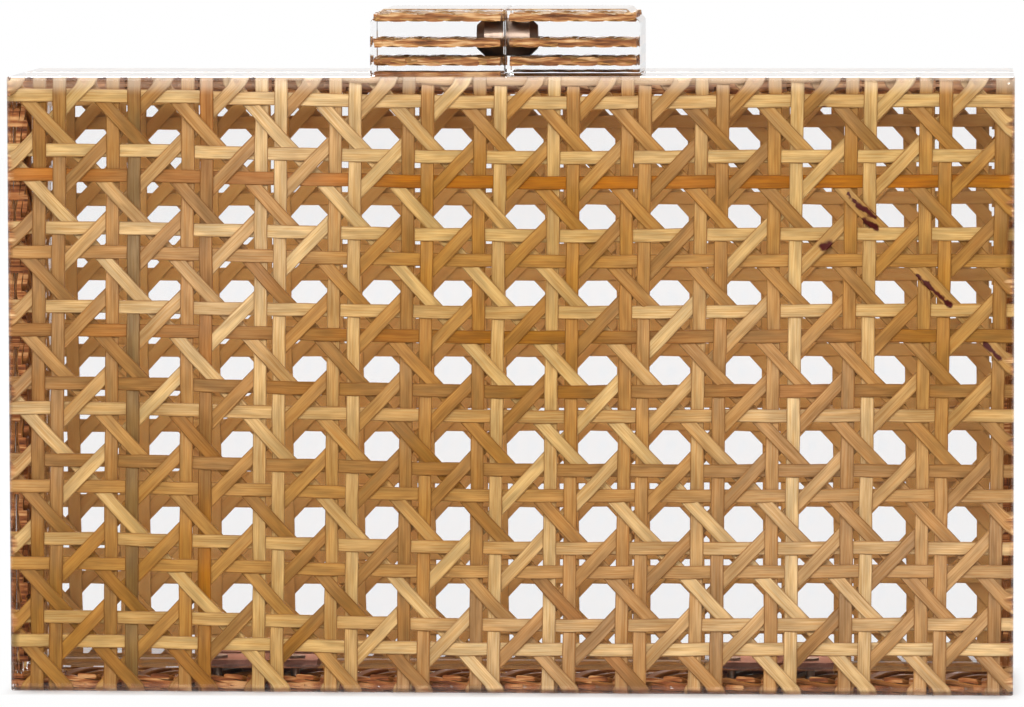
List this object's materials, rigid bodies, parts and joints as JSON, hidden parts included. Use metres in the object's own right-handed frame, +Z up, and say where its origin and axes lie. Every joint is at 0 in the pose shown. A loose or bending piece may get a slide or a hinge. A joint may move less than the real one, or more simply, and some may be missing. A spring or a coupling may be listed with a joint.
{
  "type": "evening clutch",
  "caption": "Clear hard-sided evening clutch with woven cane in its faces, hinged along the bottom and held by a split clasp on top.",
  "frame": {"origin": "middle of the bottom face, on the surface the clutch stands on", "axes": "+X to the right across the front, +Y from front to back, +Z up; the front faces -Y"},
  "size_m": [0.178, 0.046, 0.121],
  "materials": {
    "acrylic": "clear polished acrylic",
    "cane": "natural rattan cane with fine fibres",
    "nickel": "nickel plated",
    "hinge_metal": "plated steel"
  },
  "bodies": {
    "back_half": {"back_panel": "acrylic", "back_cane": "cane", "back_backing": "acrylic", "back_top_wall": "acrylic", "back_bottom_wall": "acrylic", "back_left_wall": "acrylic", "back_right_wall": "acrylic", "back_wall_cane": "cane", "right_clasp_block": "acrylic", "right_clasp_cane": "cane", "right_magnet": "nickel", "left_back_leaf": "hinge_metal", "right_back_leaf": "hinge_metal", "left_hinge_pin": "hinge_metal", "right_hinge_pin": "hinge_metal", "back_screws": "hinge_metal"},
    "front_half": {"front_panel": "acrylic", "front_cane": "cane", "front_backing": "acrylic", "front_top_wall": "acrylic", "front_bottom_wall": "acrylic", "front_left_wall": "acrylic", "front_right_wall": "acrylic", "front_wall_cane": "cane", "left_clasp_block": "acrylic", "left_clasp_cane": "cane", "left_magnet": "nickel", "left_front_leaf": "hinge_metal", "right_front_leaf": "hinge_metal", "front_screws": "hinge_metal"}
  },
  "joints": [
    {"name": "case_hinge", "type": "hinge", "parent": "back_half", "child": "front_half", "pos_m": [0, 0, 0.002], "axis": [1, 0, 0], "range_deg": [0, 90]}
  ]
}
